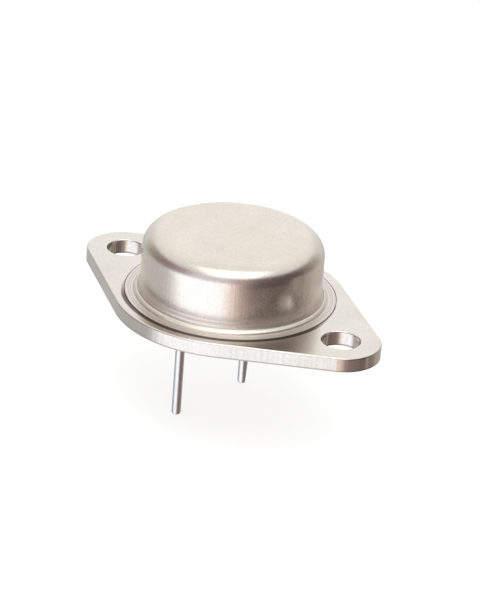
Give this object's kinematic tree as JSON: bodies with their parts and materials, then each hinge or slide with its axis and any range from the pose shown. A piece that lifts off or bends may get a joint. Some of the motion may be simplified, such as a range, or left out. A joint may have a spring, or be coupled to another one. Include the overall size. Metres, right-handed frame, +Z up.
{
  "type": "power transistor",
  "caption": "Metal-can power transistor: drawn round cap welded to a diamond mounting flange with bolt holes and stiff round leads through glass seals.",
  "frame": {"origin": "centre of the mounting base's flat seating face, which bolts against a heat sink", "axes": "+Z up through the metal cap, away from the heat sink; +X along the line of the two mounting holes, towards the hole further from the leads; the leads hang along -Z on the -X side"},
  "size_m": [0.0386, 0.0252, 0.0202],
  "materials": {
    "plated_base": "satin",
    "plated_cap": "satin",
    "plated_lead": "satin",
    "silver_braze": "satin",
    "copper": "satin",
    "solder": "satin",
    "silicon": "gloss",
    "seal_glass": "gloss",
    "bond_aluminium": "satin"
  },
  "bodies": {
    "root": {"mounting_base": "plated_base", "metal_cap": "plated_cap", "spreader_braze": "silver_braze", "heat_spreader": "copper", "die_solder": "solder", "silicon_die": "silicon", "base_lead": "plated_lead", "emitter_lead": "plated_lead", "base_lead_seal": "seal_glass", "emitter_lead_seal": "seal_glass", "base_wire": "bond_aluminium", "emitter_wire_1": "bond_aluminium", "emitter_wire_2": "bond_aluminium"}
  },
  "joints": []
}
